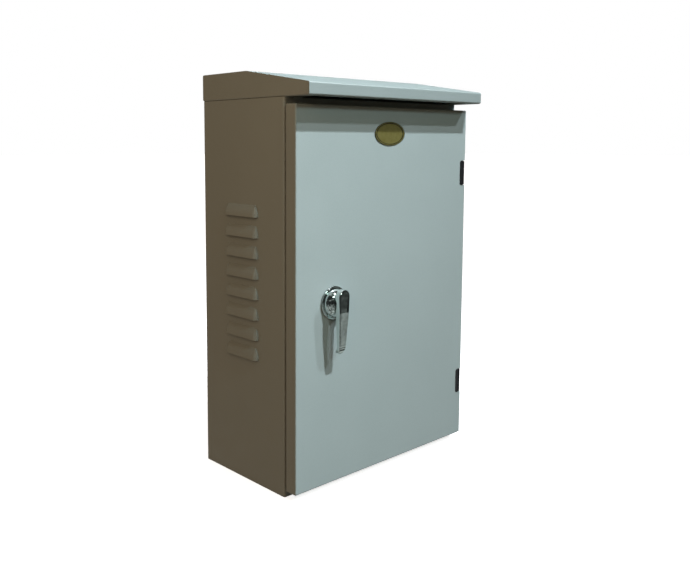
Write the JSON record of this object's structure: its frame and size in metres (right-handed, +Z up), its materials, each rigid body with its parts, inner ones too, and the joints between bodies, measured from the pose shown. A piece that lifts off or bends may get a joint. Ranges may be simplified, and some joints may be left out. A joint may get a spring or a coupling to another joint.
{
  "type": "utility cabinet",
  "caption": "Upright sheet-steel outdoor utility cabinet with a sloped rain canopy, louvred sides, one hinged door, a chrome lever latch and an internal mounting plate.",
  "frame": {"origin": "centre of the overall footprint, in the plane the cabinet stands on", "axes": "+Z up, the front with the door faces -Y, +X to the right seen from the front (hinge side)"},
  "size_m": [0.414, 0.254, 0.642],
  "materials": {
    "paint": "fine-textured light grey-green powder coat, satin",
    "zinc": "bright zinc-plated steel",
    "galvanised": "hot-dip galvanised sheet with soft spangle",
    "seal_rubber": "matt black foamed sealing rubber",
    "badge": "satin olive-gold plate with a dark border, no lettering",
    "hinge_black": "black painted zinc casting, semi-matt",
    "hinge_steel": "blackened steel pin",
    "chrome": "polished chrome-plated casting"
  },
  "bodies": {
    "cabinet": {"body_wrap": "paint", "top_panel": "paint", "bottom_panel": "paint", "rain_canopy": "paint", "canopy_screws": "zinc", "canopy_nuts": "zinc", "plate_studs": "zinc", "plate_spacers": "zinc", "mounting_plate": "galvanised", "plate_washers": "zinc", "plate_nuts": "zinc", "gland_studs": "zinc", "gland_seal": "seal_rubber", "gland_plate": "paint", "gland_nuts": "zinc", "body_earth_stud": "zinc", "body_earth_washer": "zinc", "body_earth_nut": "zinc", "upper_hinge_body_leaf": "hinge_black", "upper_hinge_pin": "hinge_steel", "lower_hinge_body_leaf": "hinge_black", "lower_hinge_pin": "hinge_steel", "hinge_screws": "zinc", "hinge_screw_nuts": "zinc"},
    "door": {"door_pan": "paint", "door_seal": "seal_rubber", "badge_plate": "badge", "door_earth_stud": "zinc", "door_earth_washer": "zinc", "door_earth_nut": "zinc", "upper_hinge_door_leaf": "hinge_black", "lower_hinge_door_leaf": "hinge_black", "hinge_door_studs": "zinc", "hinge_door_nuts": "zinc", "latch_seal": "seal_rubber", "latch_housing": "chrome", "latch_nut": "zinc"},
    "lever": {"latch_lever": "chrome", "latch_spindle": "zinc", "latch_tongue": "zinc", "latch_washer": "zinc", "latch_screw": "zinc"}
  },
  "joints": [
    {"name": "door_hinge", "type": "hinge", "parent": "cabinet", "child": "door", "pos_m": [0.1958, -0.0938, 0.3], "axis": [0, 0, 1], "range_deg": [0, 120]},
    {"name": "lever_turn", "type": "hinge", "parent": "door", "child": "lever", "pos_m": [-0.1238, -0.098, 0.2934], "axis": [0, -1, 0], "range_deg": [0, 90]}
  ]
}
